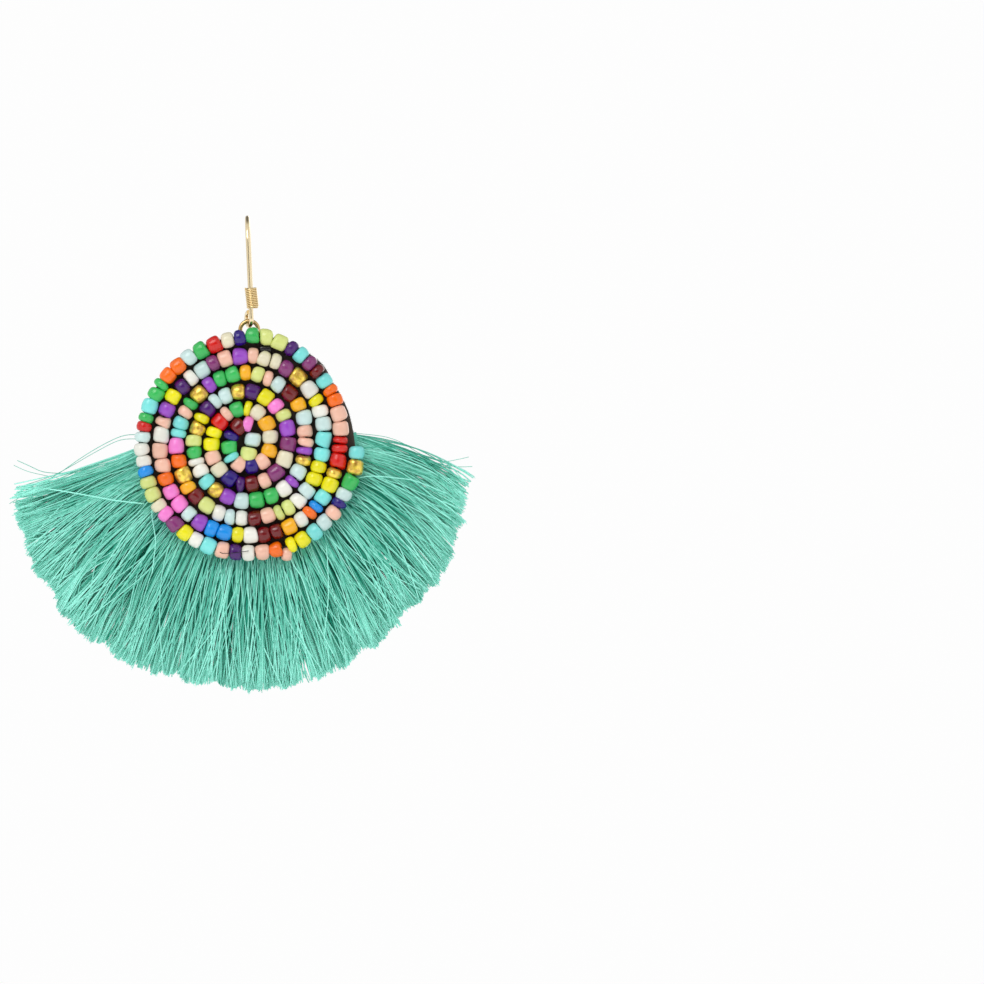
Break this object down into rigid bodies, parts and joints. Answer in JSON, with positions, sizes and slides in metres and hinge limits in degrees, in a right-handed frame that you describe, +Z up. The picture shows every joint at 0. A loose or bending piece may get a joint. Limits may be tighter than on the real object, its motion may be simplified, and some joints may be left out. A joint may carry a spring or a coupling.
{
  "type": "tassel earring",
  "caption": "Drop earring on a hook ear wire: a round felt disc covered in a spiral of mixed seed beads, with a fan of thread fringe along its lower half.",
  "frame": {"origin": "inner top of the hook's arch, where the wire rests in the ear", "axes": "+Z up as the earring hangs, -Y towards the viewer on the beaded side, +X to the viewer's right"},
  "size_m": [0.0768, 0.0121, 0.0793],
  "materials": {
    "gilt_wire": "gold-plated drawn wire, polished",
    "gilt_coil": "gold-plated fine wire, polished",
    "gilt_ring": "gold-plated wire, slightly worn",
    "black_felt": "pressed black felt",
    "backing_felt": "pressed black felt",
    "seed_beads": "opaque and metal-lined glass seed beads in mixed colours",
    "teal_thread": "silky twisted teal thread"
  },
  "bodies": {
    "ear_wire": {"ear_wire": "gilt_wire", "wire_coil": "gilt_coil"},
    "ring": {"jump_ring": "gilt_ring"},
    "drop": {"felt_base": "black_felt", "backing": "backing_felt", "bead_spiral": "seed_beads", "fringe": "teal_thread"}
  },
  "joints": [
    {"name": "drop_swing", "type": "hinge", "parent": "ear_wire", "child": "ring", "pos_m": [0.00036, -0.00323, -0.0169], "axis": [1, 0, 0], "range_deg": [-45, 75]},
    {"name": "side_swing", "type": "hinge", "parent": "ring", "child": "drop", "pos_m": [0.00036, -0.00323, -0.0184], "axis": [0, 1, 0], "range_deg": [-45, 45]}
  ]
}
